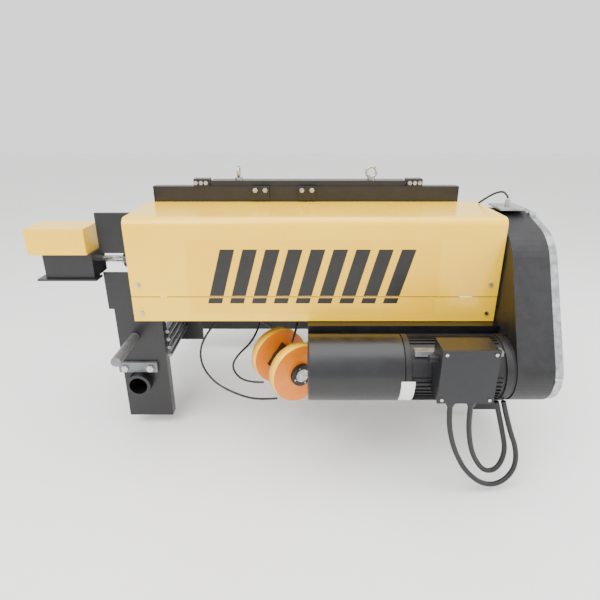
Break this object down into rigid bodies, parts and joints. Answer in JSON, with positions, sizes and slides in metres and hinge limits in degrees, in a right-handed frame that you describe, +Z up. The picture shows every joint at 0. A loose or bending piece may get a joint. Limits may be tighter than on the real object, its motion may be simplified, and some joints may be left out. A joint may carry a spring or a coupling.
{
  "type": "electric wire rope hoist",
  "caption": "Low-headroom monorail wire rope hoist with a covered rope drum, parallel motor and gearbox, trolley wheels and a hook block.",
  "frame": {"origin": "on the girder centreline at the level of the wheel treads, midway between the wheels", "axes": "+X along the girder, +Y from the drum to the counterweight, +Z up"},
  "size_m": [1.696, 1.297, 0.942],
  "materials": {
    "black_paint": "semi-gloss black paint",
    "yellow_paint": "gloss yellow powder coat",
    "orange_paint": "satin orange paint",
    "cast_aluminium": "as cast",
    "zinc_steel": "zinc plated",
    "bare_steel": "machined and oiled",
    "wire_rope": "greased stranded wire",
    "black_rubber": "matt cable jacket",
    "black_plastic": "moulded",
    "black_cast_iron": "painted casting",
    "copper": "enamelled winding"
  },
  "bodies": {
    "root": {"axles": "zinc_steel", "beam_clamps": "black_paint", "cable_glands": "black_rubber", "counterweight": "black_cast_iron", "drum_bearings": "bare_steel", "drum_cover": "yellow_paint", "frame_bolts": "zinc_steel", "front_side_plate": "black_paint", "gearbox_bolts": "zinc_steel", "gearbox_cover": "cast_aluminium", "gearbox_housing": "black_cast_iron", "gearbox_lid": "cast_aluminium", "keeper_plates": "black_paint", "left_bearing_plate": "black_paint", "left_end_frame": "black_paint", "lifting_eyes": "zinc_steel", "limit_base": "black_paint", "limit_lid": "yellow_paint", "load_bars": "black_paint", "lower_cover": "yellow_paint", "motor_cable_left": "black_rubber", "motor_cable_right": "black_rubber", "motor_coils": "copper", "motor_cowl": "black_paint", "motor_housing": "black_cast_iron", "motor_rail": "black_paint", "rear_side_plate": "black_paint", "right_end_frame": "black_paint", "rope_fall_four": "wire_rope", "rope_fall_one": "wire_rope", "rope_fall_three": "wire_rope", "rope_fall_two": "wire_rope", "sensor_cable": "black_rubber", "terminal_box": "black_paint", "terminal_lid": "black_plastic", "tie_rods": "black_paint", "top_beam": "black_paint", "travel_motor": "black_paint", "upper_rail": "black_paint"},
    "drum": {"drum": "bare_steel", "drum_rope": "wire_rope", "drum_gear": "bare_steel"},
    "rope_guide": {"rope_guide": "bare_steel"},
    "middle_gear": {"middle_gear": "bare_steel"},
    "fast_gear": {"fast_gear": "bare_steel"},
    "motor_rotor": {"motor_rotor": "bare_steel"},
    "limit_shaft": {"limit_shaft": "zinc_steel"},
    "return_sheave": {"return_sheave": "bare_steel"},
    "hook_block": {"sheave_guards": "orange_paint", "block_yoke": "black_paint", "block_pin": "black_paint"},
    "front_sheave": {"front_sheave": "bare_steel"},
    "rear_sheave": {"rear_sheave": "bare_steel"},
    "hook": {"hook": "black_cast_iron"},
    "hook_latch": {"hook_latch": "zinc_steel"},
    "front_left_wheel": {"front_left_wheel": "bare_steel"},
    "front_right_wheel": {"front_right_wheel": "bare_steel"},
    "rear_left_wheel": {"rear_left_wheel": "bare_steel"},
    "rear_right_wheel": {"rear_right_wheel": "bare_steel"}
  },
  "joints": [
    {"name": "drum_spin", "type": "hinge", "parent": "root", "child": "drum", "pos_m": [0, -0.4, 0.3], "axis": [1, 0, 0], "range_deg": [0, 11271.3]},
    {"name": "hook_lift", "type": "slide", "parent": "root", "child": "hook_block", "axis": [0, 0, -1], "range_m": [0, 6.01], "deforming": ["rope_fall_one", "rope_fall_two", "rope_fall_three", "rope_fall_four"]},
    {"name": "rope_guide_slide", "type": "slide", "parent": "root", "child": "rope_guide", "axis": [-1, 0, 0], "range_m": [0, 0.2825]},
    {"name": "middle_gear_spin", "type": "hinge", "parent": "root", "child": "middle_gear", "pos_m": [0.64, -0.518, 0.188], "axis": [1, 0, 0], "range_deg": [-32208.7, 0]},
    {"name": "fast_gear_spin", "type": "hinge", "parent": "root", "child": "fast_gear", "pos_m": [0.64, -0.597, 0.11], "axis": [1, 0, 0], "range_deg": [0, 104047.8]},
    {"name": "rotor_spin", "type": "hinge", "parent": "root", "child": "motor_rotor", "pos_m": [0.3, -0.667, 0.018], "axis": [1, 0, 0], "range_deg": [-374559, 0]},
    {"name": "limit_shaft_spin", "type": "hinge", "parent": "root", "child": "limit_shaft", "pos_m": [-0.68, -0.4, 0.3], "axis": [1, 0, 0], "range_deg": [0, 11276.3]},
    {"name": "return_sheave_spin", "type": "hinge", "parent": "root", "child": "return_sheave", "pos_m": [-0.25, -0.225, 0.215], "axis": [0, 1, 0], "range_deg": [-8093.8, 0]},
    {"name": "rear_sheave_spin", "type": "hinge", "parent": "hook_block", "child": "rear_sheave", "pos_m": [-0.1285, -0.41878, -0.07], "axis": [-0.5, 0.866, 0], "range_deg": [0, 11724.6]},
    {"name": "front_sheave_spin", "type": "hinge", "parent": "hook_block", "child": "front_sheave", "pos_m": [-0.0555, -0.54522, -0.07], "axis": [-0.5, 0.866, 0], "range_deg": [0, 3911.5]},
    {"name": "hook_swivel", "type": "hinge", "parent": "hook_block", "child": "hook", "pos_m": [-0.092, -0.482, -0.07], "axis": [-0.6634, -0.383, 0.6428], "continuous": true},
    {"name": "latch_open", "type": "hinge", "parent": "hook", "child": "hook_latch", "pos_m": [-0.02291, -0.44211, -0.10561], "axis": [-0.5, 0.866, 0], "range_deg": [0, 25], "stiffness_Nm_per_rad": 0.05, "springref_deg": -28.65},
    {"name": "front_left_wheel_roll", "type": "hinge", "parent": "root", "child": "front_left_wheel", "pos_m": [-0.519, -0.125, 0.062], "axis": [0, 1, 0], "continuous": true},
    {"name": "front_right_wheel_roll", "type": "hinge", "parent": "root", "child": "front_right_wheel", "pos_m": [0.519, -0.125, 0.062], "axis": [0, 1, 0], "continuous": true},
    {"name": "rear_left_wheel_roll", "type": "hinge", "parent": "root", "child": "rear_left_wheel", "pos_m": [-0.519, 0.125, 0.062], "axis": [0, 1, 0], "continuous": true},
    {"name": "rear_right_wheel_roll", "type": "hinge", "parent": "root", "child": "rear_right_wheel", "pos_m": [0.519, 0.125, 0.062], "axis": [0, 1, 0], "continuous": true}
  ],
  "couplings": [
    {"joint": "hook_lift", "follows": "drum_spin", "m_per_rad": 0.0305},
    {"joint": "rope_guide_slide", "follows": "drum_spin", "m_per_rad": 0.0014324},
    {"joint": "middle_gear_spin", "follows": "drum_spin", "ratio": -2.8571},
    {"joint": "fast_gear_spin", "follows": "drum_spin", "ratio": 9.2308},
    {"joint": "rotor_spin", "follows": "drum_spin", "ratio": -33.231},
    {"joint": "limit_shaft_spin", "follows": "drum_spin", "ratio": 1},
    {"joint": "rear_sheave_spin", "follows": "drum_spin", "ratio": 1.0398},
    {"joint": "return_sheave_spin", "follows": "drum_spin", "ratio": -0.71765},
    {"joint": "front_sheave_spin", "follows": "drum_spin", "ratio": 0.34659}
  ]
}
